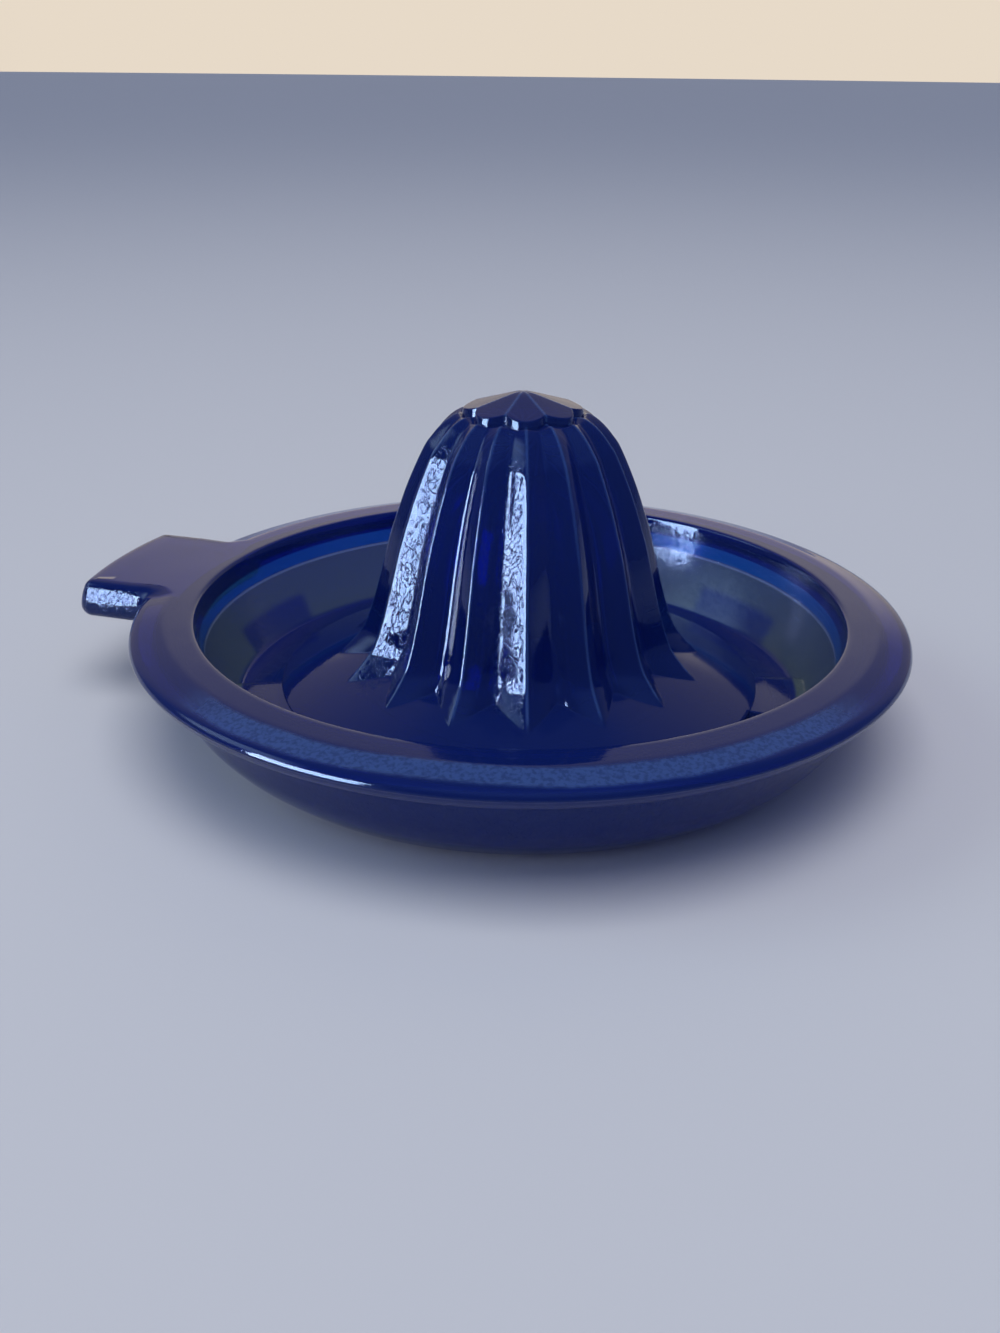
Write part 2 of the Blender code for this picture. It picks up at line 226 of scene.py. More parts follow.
def conePart():    # the cap and the ribs, the same in every column until the grooves are cut
    slope = math.tan(cap["slope"])
    edge, dome = cap["ridgeRadius"], cap["tipRounding"]

    def capRow(radius):    # a small dome that runs into a straight slope
        fall = slope * (radius * radius / (2 * dome) if radius < dome else radius - dome / 2)
        return row(radius, tipHeight - fall, 0, 0, cap["petalReach"] * radius / edge, fall)

    rows = plain(capRow(edge * share) for share in (0.0,) + cap["rows"])
    step = row(cap["stepRadius"], cap["stepHeight"], 0, cap["stepGroove"], cap["petalReach"])
    rows += [(capRow(edge), cap["edgeRounding"]), (step, cap["stepRounding"])]
    crest = cone["crest"]
    points = []
    for i, (radius, height, depth, lift, petal) in enumerate(crest):
        before, after = crest[max(i - 1, 0)], crest[min(i + 1, len(crest) - 1)]
        fall = math.atan2(after[0] - before[0], before[1] - after[1])
        tiltShare = (height - cone["noTiltBelow"]) / (cone["tiltAbove"] - cone["noTiltBelow"])
        tilt = fall * ease(tiltShare)
        grooveIn, grooveUp = depth * math.cos(tilt), lift - depth * math.sin(tilt)
        points.append(row(radius, height, grooveIn, grooveUp, petal))
    rows += plain(curveThrough(points, cone["rowsBetween"]))
    slide = math.tan(dish["platformSlope"])
    footHeight = dish["platformHeight"] + (dish["platformRadius"] - cone["footRadius"]) * slide
    foot = row(cone["footRadius"], footHeight, cone["footGroove"], cone["footGroove"] * slide)
    rows += plain(between(points[-1], foot, cone["footRows"])) + [(foot, cone["footRounding"])]
    return rows, foot


def bowlPart(angle, foot):    # platform, trough or dam, slope and wall, up to the top of the rim
    floor = dish["troughHeight"] + (dish["damHeight"] - dish["troughHeight"]) * damShare(angle)
    slopeWidth = dish["wallFootRadius"] - dish["troughOuter"]
    widening = slopeWidth / (dish["wallFootHeight"] - dish["troughHeight"])
    outer = dish["troughOuter"] + widening * (floor - dish["troughHeight"])
    inner = rim["innerRadius"]
    top = rim["height"] - channelDepth(inner * math.cos(angle), inner * math.sin(angle))
    edge = row(dish["platformRadius"], dish["platformHeight"])
    step = row(dish["platformRadius"], floor)
    slopeFoot = row(outer, floor)
    wallFoot = row(dish["wallFootRadius"], dish["wallFootHeight"])
    wallTop = row(inner, top)
    rows = plain(between(foot, edge, dish["platformRows"])) + [(edge, dish["platformRounding"])]
    rows += [(step, dish["stepRounding"])] + plain(between(step, slopeFoot, dish["troughRows"]))
    rows += [(slopeFoot, dish["troughRounding"])]
    run = wallFoot - slopeFoot
    outward = row(run[1], -run[0]) / np.linalg.norm(run[:2])
    for k in range(1, dish["slopeRows"]):
        share = k / dish["slopeRows"]
        hollow = outward * dish["slopeHollow"] * 4 * share * (1 - share)
        rows.append((slopeFoot + run * share + hollow, 0))
    rows += [(wallFoot, dish["wallFootRounding"])]
    rows += plain(between(wallFoot, wallTop, dish["wallRows"]))
    rows += [(wallTop, rim["wallRounding"]), (row(inner + rim["flatStart"], top), 0)]
    return rows


# Plan outline of a tab or spout that stands out from the rim: root fillet, side, corner and end.
# Each point has its normal, its share of the tab's own section, and its crowding
def bumpPath(bump, roundPoints=40, sidePoints=20, sideEnds=(0.02, 0.98)):
    half, reach = bump["width"] / 2, bump["reach"]
    corner, fillet = bump["corner"], bump["rootFillet"]
    filletX = math.sqrt((rim["radius"] + fillet) ** 2 - (half + fillet) ** 2)
    touch = math.atan2(half + fillet, filletX)
    cornerX = math.sqrt((reach - corner) ** 2 - (half - corner) ** 2)
    turn = math.atan2(half - corner, cornerX)
    points = []
    for t in np.linspace(0, 1, roundPoints):
        a = math.pi - touch + (touch - math.pi / 2) * t
        points.append((filletX + fillet * math.cos(a), fillet * math.sin(a) - half - fillet,
                       -math.cos(a), -math.sin(a), t, bump["filletCrowding"]))
    points += [(filletX + (cornerX - filletX) * t, -half, 0, -1, 1, bump["sideCrowding"])
               for t in np.linspace(*sideEnds, sidePoints)]
    for (x, y), radius, first, last, crowding in (
            ((cornerX, corner - half), corner, -math.pi / 2, -turn, bump["cornerCrowding"]),
            ((0, 0), reach, -turn, 0, 1.0)):
        for a in np.linspace(first, last, roundPoints):
            c, s = math.cos(a), math.sin(a)
            points.append((x + radius * c, y + radius * s, c, s, 1, crowding))
    points += [(x, -y, nx, -ny, share, crowding)
               for x, y, nx, ny, share, crowding in reversed(points[:-1])]
    path = np.array(points)
    crowding = path[:, 5]
    steps = np.linalg.norm(np.diff(path[:, :2], axis=0), axis=1)
    steps = steps * (crowding[1:] + crowding[:-1]) / 2
    along = np.concatenate(([0], np.cumsum(steps)))
    return along / along[-1], path, touch


def outline(angles):    # a point, an outward normal and the tab's share for each column
    found = []
    for angle in angles:
        c, s = math.cos(angle), math.sin(angle)
        found.append((rim["radius"] * c, rim["radius"] * s, c, s, 0.0))
    for bump in (tabHandle, pouringSpout):
        along, path, touch = bumpPath(bump)
        c, s = math.cos(bump["middle"]), math.sin(bump["middle"])
        for i, angle in enumerate(angles):
            off = (angle - bump["middle"] + math.pi) % tau - math.pi
            if abs(off) > touch:
                continue
            share = 0.5 + off / touch / 2
            x, y, nx, ny, part = (np.interp(share, along, path[:, k]) for k in range(5))
            size = math.hypot(nx, ny)
            nx, ny = nx / size, ny / size
            tabShare = part if bump is tabHandle else 0.0
            found[i] = (c * x - s * y, s * x + c * y, c * nx - s * ny, s * nx + c * ny, tabShare)
    return found


def shoulderPoint(tabShare):
    byRim, underTab = np.array(underside["shoulder"]), np.array(underside["shoulderUnderTab"])
    return byRim + (underTab - byRim) * tabShare


def rimPart(angle, edge):    # flat top, edge and underside of one column, as points
    x, y, nx, ny, tabShare = edge
    thickness = rim["thickness"] + (tabHandle["thickness"] - rim["thickness"]) * tabShare
    keys = [np.array(a) + (np.array(b) - np.array(a)) * tabShare
            for a, b in zip(rim["edge"], tabHandle["edge"])]
    start = rim["innerRadius"] + rim["flatStart"]
    startX, startY = start * math.cos(angle), start * math.sin(angle)
    endX, endY = x - nx * keys[0][0], y - ny * keys[0][0]
    points = []
    for k in range(1, rim["flatRows"]):
        t = k / rim["flatRows"]
        px, py = startX + (endX - startX) * t, startY + (endY - startY) * t
        points.append((px, py, rim["height"] - channelDepth(px, py)))
    for inset, drop in curveThrough(keys, rim["rowsBetween"]):
        px, py = x - nx * inset, y - ny * inset
        top = rim["height"] - channelDepth(px, py)
        bottom = rim["height"] - thickness + lipLift(px, py)
        points.append((px, py, top - (top - bottom) * drop / thickness))
    endX, endY = x - nx * keys[-1][0], y - ny * keys[-1][0]
    stop = shoulderPoint(tabShare)[0] + underside["shoulderFlat"]
    stopX, stopY = stop * math.cos(angle), stop * math.sin(angle)
    for k in range(1, rim["undersideRows"]):
        t = k / rim["undersideRows"]
        px, py = endX + (stopX - endX) * t, endY + (stopY - endY) * t
        points.append((px, py, rim["height"] - thickness + lipLift(px, py)))
    return points


def underPart(tabShare):    # outside of the bowl, foot ring, recess and hollow
    under = underside
    shoulder = row(*shoulderPoint(tabShare))
    recessEdge = row(under["recessRadius"], under["recess"])
    mouth = row(under["mouthRadius"], under["recess"])
    hollow = [row(*point) for point in under["hollow"]]
    rows = [(row(shoulder[0] + under["shoulderFlat"], shoulder[1]), 0)]
    rows += [(shoulder, under["shoulderRounding"])]
    rows += plain(curveThrough([row(*point) for point in under["wall"]], under["wallRows"]))
    rows += [(row(under["footOuter"], 0), under["footOuterRounding"])]
    rows += [(row(under["footInner"], 0), under["footInnerRounding"])]
    rows += [(recessEdge, under["recessRounding"])]
    rows += plain(between(recessEdge, mouth, under["recessRows"]))
    rows += [(mouth, under["mouthRounding"])]
    rows += plain(between(mouth, hollow[0], under["mouthRows"]))
    rows += plain(curveThrough(hollow, under["hollowRows"]))
    return soften(rows)


def makeBlank():
    angles = columnAngles()
    edges = outline(angles)
    coneRows, foot = conePart()
    unmarked = (0,) * len(cutMarks)
    columns, weights = [], []
    for angle, edge in zip(angles, edges):
        c, s = math.cos(angle), math.sin(angle)
        inner = soften(coneRows + bowlPart(angle, foot))
        outer = rimPart(angle, edge)
        under = underPart(edge[4])
        columns.append([(r[0] * c, r[0] * s, r[1]) for r in inner] + outer
                       + [(r[0] * c, r[0] * s, r[1]) for r in under])
        weights.append([tuple(r[2:]) for r in inner] + [unmarked] * (len(outer) + len(under)))
    count, length = len(columns), len(columns[0])
    bm = bmesh.new()
    layers = [bm.verts.layers.float.new(name) for name in cutMarks]
    tip = bm.verts.new((0, 0, tipHeight))
    ceiling = bm.verts.new((0, 0, underside["hollowTop"]))
    grid = []
    for points, marks in zip(columns, weights):
        line = [tip]
        for point, mark in zip(points[1:], marks[1:]):
            vert = bm.verts.new(point)
            for layer, value in zip(layers, mark):
                vert[layer] = value
            line.append(vert)
        grid.append(line + [ceiling])
    for i in range(count):
        here, beside = grid[i], grid[(i + 1) % count]
        bm.faces.new((here[0], here[1], beside[1]))
        for k in range(1, length - 1):
            bm.faces.new((here[k], here[k + 1], beside[k + 1], beside[k]))
        bm.faces.new((here[length - 1], ceiling, beside[length - 1]))
    mesh = bpy.data.meshes.new("blank")
    bm.to_mesh(mesh)
    bm.free()
    blank = bpy.data.objects.new("blank", mesh)
    bpy.context.scene.collection.objects.link(blank)
    print("blank:", count, "columns of", length, "points,", len(mesh.polygons), "faces")
    return blank


def setInput(tree, socket, value):    # value is a number, a colour, or another node's output
    if isinstance(value, bpy.types.NodeSocket):
        tree.links.new(value, socket)
    else:
        socket.default_value = value


def nodeMath(tree, operation, *values):
    node = tree.nodes.new("ShaderNodeMath")
    node.operation = operation
    for socket, value in zip(node.inputs, values):
        setInput(tree, socket, value)
    return node.outputs[0]


def nodeAttribute(tree, name):
    node = tree.nodes.new("GeometryNodeInputNamedAttribute")
    node.data_type = "FLOAT"
    node.inputs["Name"].default_value = name
    return node.outputs["Attribute"]


# The grooves and the cap's petals are cut into the blank by one Geometry Nodes tree
def ribTree():
    tree = bpy.data.node_groups.new("cutTheRibs", "GeometryNodeTree")
    sockets = tree.interface
    sockets.new_socket(name="Geometry", in_out="INPUT", socket_type="NodeSocketGeometry")
    sockets.new_socket(name="Rib Count", in_out="INPUT", socket_type="NodeSocketInt")
    for name in ("First Rib", "Crest Rounding", "Floor Rounding", "Cap Slope"):
        sockets.new_socket(name=name, in_out="INPUT", socket_type="NodeSocketFloat")
    sockets.new_socket(name="Glass", in_out="INPUT", socket_type="NodeSocketMaterial")
    sockets.new_socket(name="Geometry", in_out="OUTPUT", socket_type="NodeSocketGeometry")
    given = tree.nodes.new("NodeGroupInput").outputs
    taken = tree.nodes.new("NodeGroupOutput").inputs

    def maths(operation, *values):
        return nodeMath(tree, operation, *values)

    place = tree.nodes.new("ShaderNodeSeparateXYZ")
    tree.links.new(tree.nodes.new("GeometryNodeInputPosition").outputs[0], place.inputs[0])
    angle = maths("ARCTAN2", place.outputs["Y"], place.outputs["X"])
    turn = maths("SUBTRACT", angle, given["First Rib"])
    ribsRound = maths("DIVIDE", maths("MULTIPLY", turn, given["Rib Count"]), tau)

    # 0 on a crest and 1 on a groove's floor, with flat flanks, a round crest and a round floor. A
    # smooth maximum or minimum is off by a sixth of its rounding there, which is taken back
    roundingToError = 6.0
    across = maths("MULTIPLY", maths("PINGPONG", ribsRound, 0.5), 2.0)
    flank = maths("SMOOTH_MAX", across, maths("MULTIPLY", across, -1.0), given["Crest Rounding"])
    raw = maths("SMOOTH_MIN", flank, maths("SUBTRACT", 2.0, across), given["Floor Rounding"])
    lowest = maths("DIVIDE", given["Crest Rounding"], roundingToError)
    highest = maths("SUBTRACT", 1.0, maths("DIVIDE", given["Floor Rounding"], roundingToError))
    groove = maths("DIVIDE", maths("SUBTRACT", raw, lowest), maths("SUBTRACT", highest, lowest))

    # Petals between every second crest
    offRidge = maths("PINGPONG", ribsRound, 1.0)
    petal = maths("SINE", maths("MULTIPLY", offRidge, math.pi / 2))
    halfPetal = maths("DIVIDE", tau, given["Rib Count"])
    offMiddle = maths("MULTIPLY", maths("SUBTRACT", 1.0, offRidge), halfPetal)
    facet = maths("SUBTRACT", 1.0, maths("COSINE", offMiddle))

    pushed = maths("MULTIPLY", nodeAttribute(tree, "petal"), petal)
    outward = maths("SUBTRACT", pushed, maths("MULTIPLY", nodeAttribute(tree, "grooveIn"), groove))
    upward = maths("ADD", maths("MULTIPLY", nodeAttribute(tree, "grooveUp"), groove),
                   maths("MULTIPLY", nodeAttribute(tree, "facetFall"), facet))
    capFall = maths("MULTIPLY", pushed, maths("TANGENT", given["Cap Slope"]))
    upward = maths("SUBTRACT", upward, capFall)
    move = tree.nodes.new("ShaderNodeCombineXYZ")
    tree.links.new(maths("MULTIPLY", outward, maths("COSINE", angle)), move.inputs["X"])
    tree.links.new(maths("MULTIPLY", outward, maths("SINE", angle)), move.inputs["Y"])
    tree.links.new(upward, move.inputs["Z"])
    setPosition = tree.nodes.new("GeometryNodeSetPosition")
    tree.links.new(given["Geometry"], setPosition.inputs["Geometry"])
    tree.links.new(move.outputs[0], setPosition.inputs["Offset"])
    smooth = tree.nodes.new("GeometryNodeSetShadeSmooth")
    tree.links.new(setPosition.outputs[0], smooth.inputs["Geometry"])
    realize = tree.nodes.new("GeometryNodeRealizeInstances")
    tree.links.new(smooth.outputs[0], realize.inputs[0])
    setMaterial = tree.nodes.new("GeometryNodeSetMaterial")
    tree.links.new(realize.outputs[0], setMaterial.inputs["Geometry"])
    tree.links.new(given["Glass"], setMaterial.inputs["Material"])
    tree.links.new(setMaterial.outputs[0], taken["Geometry"])
    return tree


def cutRibs(blank, material):
    tree = ribTree()
    cutter = blank.modifiers.new("ribs", "NODES")
    cutter.node_group = tree
    settings = {
        "Rib Count": ribs["count"], "First Rib": ribs["first"], "Cap Slope": cap["slope"],
        "Crest Rounding": ribs["crestRounding"], "Floor Rounding": ribs["floorRounding"],
        "Glass": material,
    }
    for socket in tree.interface.items_tree:
        if socket.in_out == "INPUT" and socket.name in settings:
            cutter[socket.identifier] = settings[socket.name]
    graph = bpy.context.evaluated_depsgraph_get()
    mesh = bpy.data.meshes.new_from_object(blank.evaluated_get(graph))
    for name in cutMarks:
        mesh.attributes.remove(mesh.attributes[name])
    mesh.transform(Matrix.Translation(bowlAxis) @ Matrix.Scale(mm, 4))
    bpy.data.objects.remove(blank, do_unlink=True)
    reamer = bpy.data.objects.new("pressed_glass_reamer", mesh)
    bpy.context.scene.collection.objects.link(reamer)
    return reamer


# Cobalt glass: most of the colour is in its depth. The whole surface has pressing waves, a fine
# peel and smudges. Two flanks of the cone and the tab's end have pits, and the slope is sandy. The
# slope's colour is a painted grey-green reflection, except in two patches where a dark reflection
# falls. A strip of painted light and a painted highlight line on the crease run along the wall's
# foot, the front of the rim has a rubbed band with a painted sheen, and the worn crests have
# painted highlight lines. Lengths, radii and heights are in metres from here on; a zone's three
# numbers are its start, its end and its soft edge, and two are a ramp. A side of the bowl is an
# azimuth, with the cosines where it starts and where it is full
glass = {
    "colour": (0.015, 0.05, 0.42, 1), "depthColour": (0.02, 0.09, 0.87, 1), "density": 800.0,
    "clearness": 0.76, "ior": 1.49, "reflection": (0.42, 0.60, 1.0, 1),
    # noises: scale, detail, and how far the pattern is drawn out in height where it is
    "smudge": (38.0, 5.0), "waves": (70.0, 1.0), "peel": (480.0, 2.0),
    "grains": (1300.0, 2.0, 0.55), "streaks": (1500.0, 1.0, 0.06),
    "waveHeight": 0.00004, "peelHeight": 0.000003, "bandPeel": 0.00001, "pitHeight": 0.00009,
    # roughness: clean and smudged glass, the sandy slope and the rubbed band
    "smudgeRange": (0.42, 0.72), "clean": 0.02, "smudged": 0.10,
    "slopeRoughness": 0.13, "bandRoughness": 0.45,
    # pits: where in the noises they start, how deep they are, and the places that have them
    "pitRange": (0.50, 0.60), "streakRange": (0.58, 0.68),
    "pitsElsewhere": 0.02, "pitsOnSlope": 0.45, "pitsOnTab": 0.6,
    "pittedFlanks": (math.radians(226), math.radians(282)), "flankRange": (0.9914, 0.9962),
    "pittedRadius": (0.0360, 0.0400), "pittedHeight": (0.0135, 0.0570, 0.0015),
    "pitFreeCrest": (0.0006, 0.0013),
    "tabRadius": (0.0770, 0.0780), "tabHeight": (0.0170, 0.0232, 0.0005),
    # sandy slope: its zone has pits, and a slightly wider one has a painted grey-green reflection,
    #     # left out in two patches where a dark reflection falls
    "slopeReflectionColour": (0.24, 0.36, 0.38, 1),
    "slopeHeight": (0.0075, 0.0225, 0.0010), "slopeRadius": (0.0560, 0.0640, 0.0006),
    "slopeReflectionHeight": (0.0070, 0.0180, 0.0006), "slopeReflectionRadius": (0.0556, 0.0645, 0.0004),
    "darkReflectionPatches": (math.radians(172.5), math.radians(48)), "patchRange": (0.9740, 0.9840),
    "patchTop": (0.0112, 0.0130), "patchShare": 0.7,
    # painted light at the foot of the wall: a lighter strip, and a painted highlight line on the
    # crease
    "wallFootLightColour": (0.05, 0.36, 1.0, 1), "creaseHighlightColour": (0.60, 0.85, 0.95, 1),
    "wallRadius": (0.0615, 0.0645, 0.0002), "litStripHeight": (0.0180, 0.0206, 0.0002),
    "creaseHighlightHeight": (0.0174, 0.0179, 0.0001),
    # rubbed band on the crown of the rim, with an edge that wanders; its lighter blue colour is a
    #     # painted sheen of scattered light, and its roughness is the rubbing
    "wearAndHighlightColour": (0.14, 0.32, 1.0, 1),
    "rubbedSide": math.radians(286), "rubbedRange": (0.56, 0.76),
    "bandRadius": (0.0700, 0.0742, 0.0006), "bandHeight": (0.0218, 0.0226),
    "wanderRange": (0.3, 0.7), "wander": 0.0006, "raggedEnds": 60.0,
    "sheenGrains": (0.38, 0.56), "leastSheen": 0.45,
    # worn crests with a painted highlight line: the line's width, where the cap starts, the cone's
    #     # zone, and how patchy it is
    "crestLine": (0.00010, 0.00045), "capHeight": (0.0622, 0.0626),
    "coneRadius": (0.0350, 0.0362), "coneHeight": (0.0130, 0.0150),
    "crestHighlightRange": (0.35, 0.6), "leastCrestHighlight": 0.3, "crestHighlight": 0.75,
}


def addNode(tree, kind, settings=None, **inputs):
    node = tree.nodes.new(kind)
    for name, value in (settings or {}).items():
        setattr(node, name, value)
    for name, value in inputs.items():
        setInput(tree, node.inputs[name], value)
    return node


def blend(tree, share, under, over):
    node = addNode(tree, "ShaderNodeMix", {"data_type": "RGBA"})
    for index, value in ((0, share), (6, under), (7, over)):    # the sockets that colours use
        setInput(tree, node.inputs[index], value)
    return node.outputs[2]


def product(tree, first, *others):
    for other in others:
        first = nodeMath(tree, "MULTIPLY", first, other)
    return first


def remap(tree, value, source, target=(0.0, 1.0), smooth=False):
    node = addNode(tree, "ShaderNodeMapRange", Value=value)
    node.interpolation_type = "SMOOTHSTEP" if smooth else "LINEAR"
    for side, (low, high) in (("From", source), ("To", target)):
        node.inputs[side + " Min"].default_value = low
        node.inputs[side + " Max"].default_value = high
    return node.outputs[0]


def inZone(tree, value, zone):    # 1 in the zone, with soft ends
    low, high, soft = zone
    rising = remap(tree, value, (low - soft, low + soft), smooth=True)
    falling = remap(tree, value, (high - soft, high + soft), (1.0, 0.0), smooth=True)
    return product(tree, rising, falling)


def toward(azimuth, rise=0.0):
    level = math.cos(rise)
    return Vector((math.cos(azimuth) * level, math.sin(azimuth) * level, math.sin(rise)))


def facing(tree, direction, azimuth, rise=0.0):    # cosine of the angle between the two directions
    node = addNode(tree, "ShaderNodeVectorMath", {"operation": "DOT_PRODUCT"}, Vector=direction)
    node.inputs[1].default_value = toward(azimuth, rise)
    return node.outputs["Value"]


def cobaltGlass():
    material = bpy.data.materials.new("cobalt_glass")
    material.use_nodes = True
    tree = material.node_tree
    shader = tree.nodes["Principled BSDF"]
    shader.inputs["IOR"].default_value = glass["ior"]
    shader.inputs["Specular Tint"].default_value = glass["reflection"]
    shader.inputs["Transmission Weight"].default_value = glass["clearness"]
    depth = addNode(tree, "ShaderNodeVolumeAbsorption",
                    Color=glass["depthColour"], Density=glass["density"])
    tree.links.new(depth.outputs[0], tree.nodes["Material Output"].inputs["Volume"])

    def noise(scale, detail, stretch=None):
        at = place
        if stretch:
            at = addNode(tree, "ShaderNodeMapping", Vector=place, Scale=(1, 1, stretch)).outputs[0]
        return addNode(tree, "ShaderNodeTexNoise", Vector=at, Scale=scale, Detail=detail).outputs[0]

    def ramp(value, source, target=(0.0, 1.0)):
        return remap(tree, value, source, target)

    def softRamp(value, source, target=(0.0, 1.0)):
        return remap(tree, value, source, target, smooth=True)

    def times(*values):
        return product(tree, *values)

    def larger(*values):
        return nodeMath(tree, "MAXIMUM", *values)

    def onEither(azimuths, fade):    # 1 on the sides of the bowl that face these azimuths
        return larger(*(softRamp(facing(tree, outward, azimuth), fade) for azimuth in azimuths))

    place = addNode(tree, "ShaderNodeTexCoord").outputs["Object"]
    centred = addNode(tree, "ShaderNodeMapping", Vector=place, Location=-bowlAxis).outputs[0]
    parts = addNode(tree, "ShaderNodeSeparateXYZ", Vector=centred).outputs
    height = parts["Z"]
    across = addNode(tree, "ShaderNodeCombineXYZ", X=parts["X"], Y=parts["Y"]).outputs[0]
    length = addNode(tree, "ShaderNodeVectorMath", {"operation": "LENGTH"}, Vector=across)
    radius = length.outputs["Value"]
    unit = addNode(tree, "ShaderNodeVectorMath", {"operation": "NORMALIZE"}, Vector=across)
    outward = unit.outputs["Vector"]
    smudge, waves, peel = (noise(*glass[name]) for name in ("smudge", "waves", "peel"))
    grains, streaks = noise(*glass["grains"]), noise(*glass["streaks"])

    # Distance along the surface from the nearest crest, and on the cap from the nearest ridge
    angle = nodeMath(tree, "ARCTAN2", parts["Y"], parts["X"])
    rib = times(nodeMath(tree, "SUBTRACT", angle, ribs["first"]), ribs["count"] / tau)
    spacing = ramp(ramp(height, glass["capHeight"]), (0.0, 1.0), (0.5, 1.0))
    offCrest = times(nodeMath(tree, "PINGPONG", rib, spacing), tau / ribs["count"], radius)

    # Where the finishes lie
    wander = ramp(smudge, glass["wanderRange"], (-glass["wander"], glass["wander"]))
    rubbedFront = nodeMath(tree, "ADD", facing(tree, outward, glass["rubbedSide"]),
                           times(wander, glass["raggedEnds"]))
    band = times(inZone(tree, nodeMath(tree, "ADD", radius, wander), glass["bandRadius"]),
                 softRamp(height, glass["bandHeight"]), softRamp(rubbedFront, glass["rubbedRange"]))
    slope = times(inZone(tree, height, glass["slopeHeight"]),
                  inZone(tree, radius, glass["slopeRadius"]))
    onCone = times(ramp(radius, glass["pittedRadius"], (1.0, 0.0)),
                   inZone(tree, height, glass["pittedHeight"]),
                   onEither(glass["pittedFlanks"], glass["flankRange"]),
                   ramp(offCrest, glass["pitFreeCrest"]))
    onTab = times(ramp(radius, glass["tabRadius"]), inZone(tree, height, glass["tabHeight"]))
    ribbed = times(ramp(radius, glass["coneRadius"], (1.0, 0.0)), ramp(height, glass["coneHeight"]))
    crests = times(softRamp(offCrest, glass["crestLine"], (1.0, 0.0)), ribbed)

    # Relief
    pits = larger(softRamp(grains, glass["pitRange"]), softRamp(streaks, glass["streakRange"]))
    pitShare = larger(ramp(onCone, (0.0, 1.0), (glass["pitsElsewhere"], 1.0)),
                      times(slope, glass["pitsOnSlope"]))
    pitShare = larger(pitShare, times(onTab, glass["pitsOnTab"]))
    peelShare = ramp(band, (0.0, 1.0), (1.0, glass["bandPeel"] / glass["peelHeight"]))
    wavy = addNode(tree, "ShaderNodeBump", Height=waves, Distance=glass["waveHeight"])
    peeled = addNode(tree, "ShaderNodeBump", Height=times(peel, peelShare),
                     Distance=glass["peelHeight"], Normal=wavy.outputs[0])
    pitted = addNode(tree, "ShaderNodeBump", {"invert": True}, Height=times(pits, pitShare),
                     Distance=glass["pitHeight"], Normal=peeled.outputs[0])
    tree.links.new(pitted.outputs[0], shader.inputs["Normal"])

    # Dullness
    dull = ramp(smudge, glass["smudgeRange"], (glass["clean"], glass["smudged"]))
    dull = larger(dull, ramp(slope, (0.0, 1.0), (0.0, glass["slopeRoughness"])))
    dull = larger(dull, ramp(band, (0.0, 1.0), (0.0, glass["bandRoughness"])))
    tree.links.new(dull, shader.inputs["Roughness"])

    # Colour
    # The slope's grey-green colour is a painted reflection of the room. It is left out in two
    # patches where a dark reflection falls
    darkReflection = times(onEither(glass["darkReflectionPatches"], glass["patchRange"]),
                  softRamp(height, glass["patchTop"], (glass["patchShare"], 0.0)))
    slopeReflection = times(inZone(tree, height, glass["slopeReflectionHeight"]),
                   inZone(tree, radius, glass["slopeReflectionRadius"]),
                   nodeMath(tree, "SUBTRACT", 1.0, darkReflection))
    onWall = inZone(tree, radius, glass["wallRadius"])
    # A lighter azure strip at the wall's foot: painted light standing in for light let through the
    # wall
    litStrip = times(onWall, inZone(tree, height, glass["litStripHeight"]))
    # A thin pale line on the crease at the wall's foot: a painted highlight
    creaseHighlight = times(onWall, inZone(tree, height, glass["creaseHighlightHeight"]))
    # The rubbed band's lighter blue is a painted sheen standing in for light scattered on the rim's
    # front
    rubbedSheen = times(band, ramp(grains, glass["sheenGrains"], (glass["leastSheen"], 1.0)))
    # A lighter line along the worn crests: partly wear, partly a painted highlight
    wornCrestHighlight = times(crests, ramp(smudge, glass["crestHighlightRange"], (glass["leastCrestHighlight"], glass["crestHighlight"])))
    colour = blend(tree, slopeReflection, glass["colour"], glass["slopeReflectionColour"])
    colour = blend(tree, litStrip, colour, glass["wallFootLightColour"])
    colour = blend(tree, creaseHighlight, colour, glass["creaseHighlightColour"])
    # The rubbed band's painted sheen and the crests' painted highlight lines share one lighter blue
    colour = blend(tree, larger(rubbedSheen, wornCrestHighlight), colour, glass["wearAndHighlightColour"])
    tree.links.new(colour, shader.inputs["Base Color"])
    return material


# Floor, light and camera. The world is dim and blue, with a warm far wall in a darker room and
# soft glows. Angles are azimuths from +X and how far something rises above the floor
studio = {
    "floor": (0.66, 0.68, 0.72, 1), "floorRadius": 14.0, "floorSides": 96, "floorRoughness": 0.9,
    "dim": (0.12, 0.15, 0.26, 1),
    # far room and far wall: the cosines where they start and are full, and how they fade upwards
    "farAzimuth": math.radians(103.5), "farRoom": (0.35, 0.31, 0.30, 1),
    "roomRise": math.radians(10), "roomFade": (0.45, 0.80), "roomTop": (0.78, 0.88),
    "farWall": (0.80, 0.70, 0.58, 1), "wallFade": (0.84, 0.94), "wallTop": (0.34, 0.50),
    # soft glows: colour, azimuth, rise, and the cosines where each starts and is full
    "glows": (
        ((0.26, 0.34, 0.60, 1), math.radians(290), math.radians(62), (0.78, 0.96)),
        ((1.70, 2.00, 2.10, 1), math.radians(192), math.radians(34), (0.93, 0.985)),
    ),
}
windowLight = {
    "azimuth": math.radians(229), "rise": math.radians(10.5), "distance": 0.95,
    "width": 0.56, "tall": 0.53, "power": 25.0, "colour": (0.92, 0.96, 1.0),
}
floorLight = {
    "azimuth": math.radians(290), "rise": math.radians(75), "distance": 1.30,
    "width": 1.0, "tall": 1.0, "power": 8.6, "colour": (1.0, 0.96, 0.90),
}
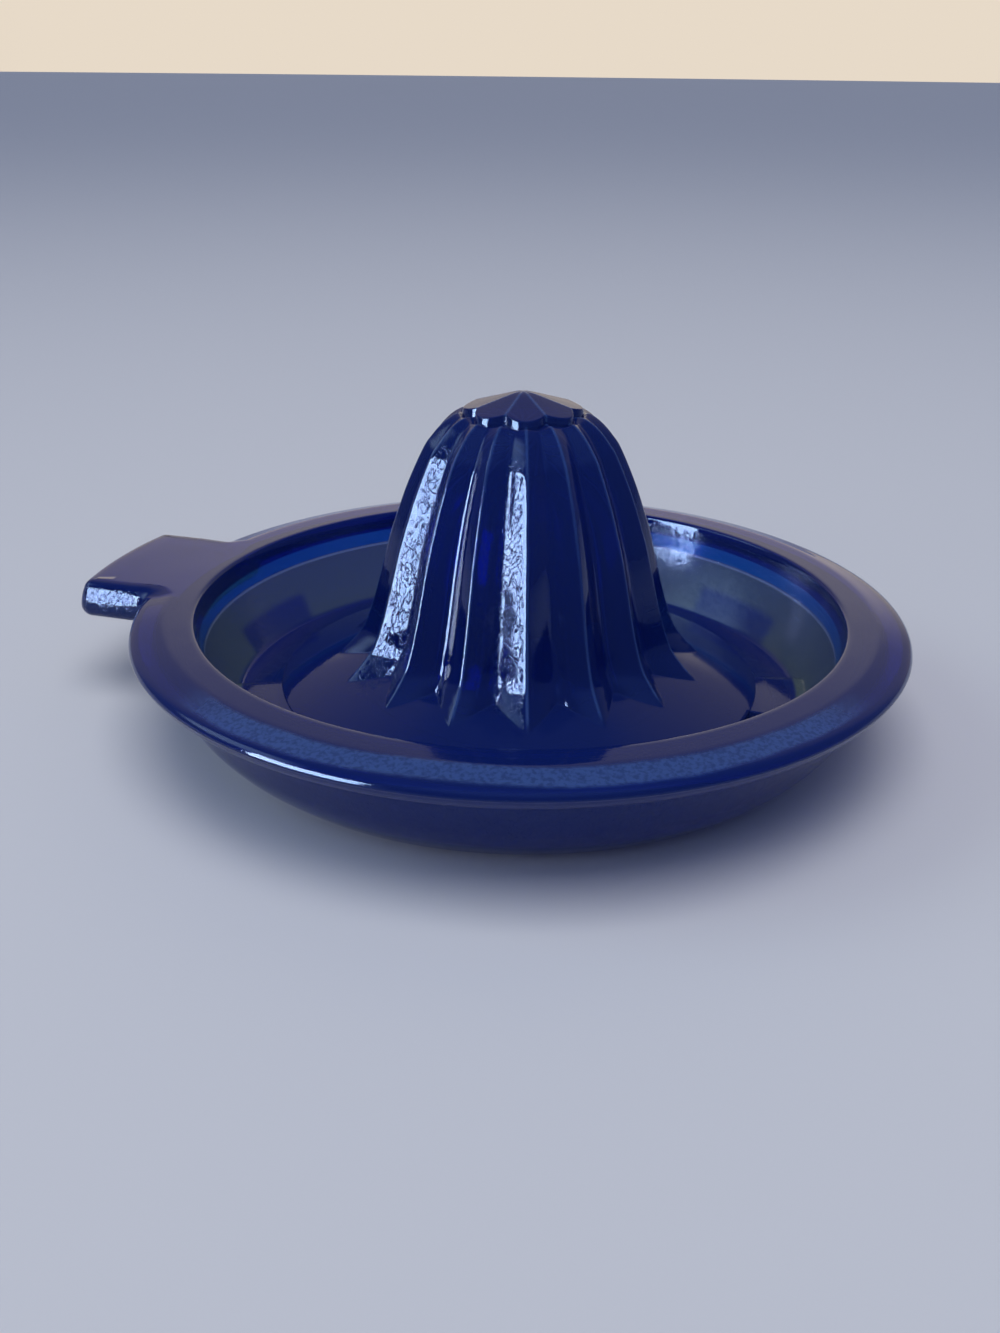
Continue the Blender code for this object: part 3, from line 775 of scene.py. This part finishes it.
# Where the photograph was taken from: millimetres from the bowl's axis, with the camera's heading
# turned from +Y; pitch and roll are in radians
photoCamera = {
    "heading": math.radians(15.8), "aside": -3.8, "back": 251.4, "height": 122.2,
    "pitch": 0.4206, "roll": 0.0113, "lens": 36.46, "sensor": 36.0,
}


def makeFloor():
    bm = bmesh.new()
    bmesh.ops.create_circle(bm, cap_ends=True, segments=studio["floorSides"],
                            radius=studio["floorRadius"])
    mesh = bpy.data.meshes.new("floor")
    bm.to_mesh(mesh)
    bm.free()
    floor = bpy.data.objects.new("floor", mesh)
    bpy.context.scene.collection.objects.link(floor)
    material = bpy.data.materials.new("pale_floor")
    material.use_nodes = True
    shader = material.node_tree.nodes["Principled BSDF"]
    shader.inputs["Base Color"].default_value = studio["floor"]
    shader.inputs["Roughness"].default_value = studio["floorRoughness"]
    mesh.materials.append(material)


def makePanel(name, panel):
    lamp = bpy.data.lights.new(name, "AREA")
    lamp.shape = "RECTANGLE"
    lamp.size, lamp.size_y = panel["width"], panel["tall"]
    lamp.energy = panel["power"]
    lamp.color = panel["colour"]
    light = bpy.data.objects.new(name, lamp)
    bpy.context.scene.collection.objects.link(light)
    outward = toward(panel["azimuth"], panel["rise"])
    light.location = bowlAxis + outward * panel["distance"]
    light.rotation_euler = outward.to_track_quat("Z", "Y").to_euler()
    return light


def makeLight():
    world = bpy.data.worlds.new("studio")
    world.use_nodes = True
    tree = world.node_tree
    direction = addNode(tree, "ShaderNodeTexCoord").outputs["Generated"]
    upward = addNode(tree, "ShaderNodeSeparateXYZ", Vector=direction).outputs["Z"]

    def glow(azimuth, rise, fade):
        return remap(tree, facing(tree, direction, azimuth, rise), fade, smooth=True)

    shade = studio["dim"]
    for part, rise, fade, top in (
            ("farRoom", studio["roomRise"], studio["roomFade"], studio["roomTop"]),
            ("farWall", 0.0, studio["wallFade"], studio["wallTop"])):
        share = product(tree, glow(studio["farAzimuth"], rise, fade),
                        remap(tree, upward, top, (1.0, 0.0), smooth=True))
        shade = blend(tree, share, shade, studio[part])
    for colour, azimuth, rise, fade in studio["glows"]:
        shade = blend(tree, glow(azimuth, rise, fade), shade, colour)
    tree.links.new(shade, tree.nodes["Background"].inputs["Color"])
    bpy.context.scene.world = world
    makePanel("window", windowLight).visible_diffuse = False
    overhead = makePanel("overhead", floorLight)
    overhead.visible_glossy = overhead.visible_transmission = False


def makeCamera():
    turn = Matrix.Rotation(photoCamera["heading"], 3, "Z")
    pitch, roll = photoCamera["pitch"], photoCamera["roll"]
    forward = turn @ Vector((0, math.cos(pitch), -math.sin(pitch)))
    level = turn @ Vector((1, 0, 0))
    above = level.cross(forward)
    right = level * math.cos(roll) + above * math.sin(roll)
    up = above * math.cos(roll) - level * math.sin(roll)
    data = bpy.data.cameras.new("photo_camera")
    data.sensor_width = photoCamera["sensor"]
    data.lens = photoCamera["lens"]
    camera = bpy.data.objects.new("photo_camera", data)
    bpy.context.scene.collection.objects.link(camera)
    offset = turn @ Vector((photoCamera["aside"], -photoCamera["back"], photoCamera["height"]))
    place = Matrix((right, up, -forward)).transposed().to_4x4()
    place.translation = bowlAxis + offset * mm
    camera.matrix_world = place
    bpy.context.scene.camera = camera


makeCamera()
makeLight()
makeFloor()
print("camera, light and floor are set")
reamer = cutRibs(makeBlank(), cobaltGlass())
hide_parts("reamer_body")
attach(reamer, "root")
print("reamer:", len(reamer.data.polygons), "faces")
bpy.context.scene.view_settings.view_transform = "Standard"
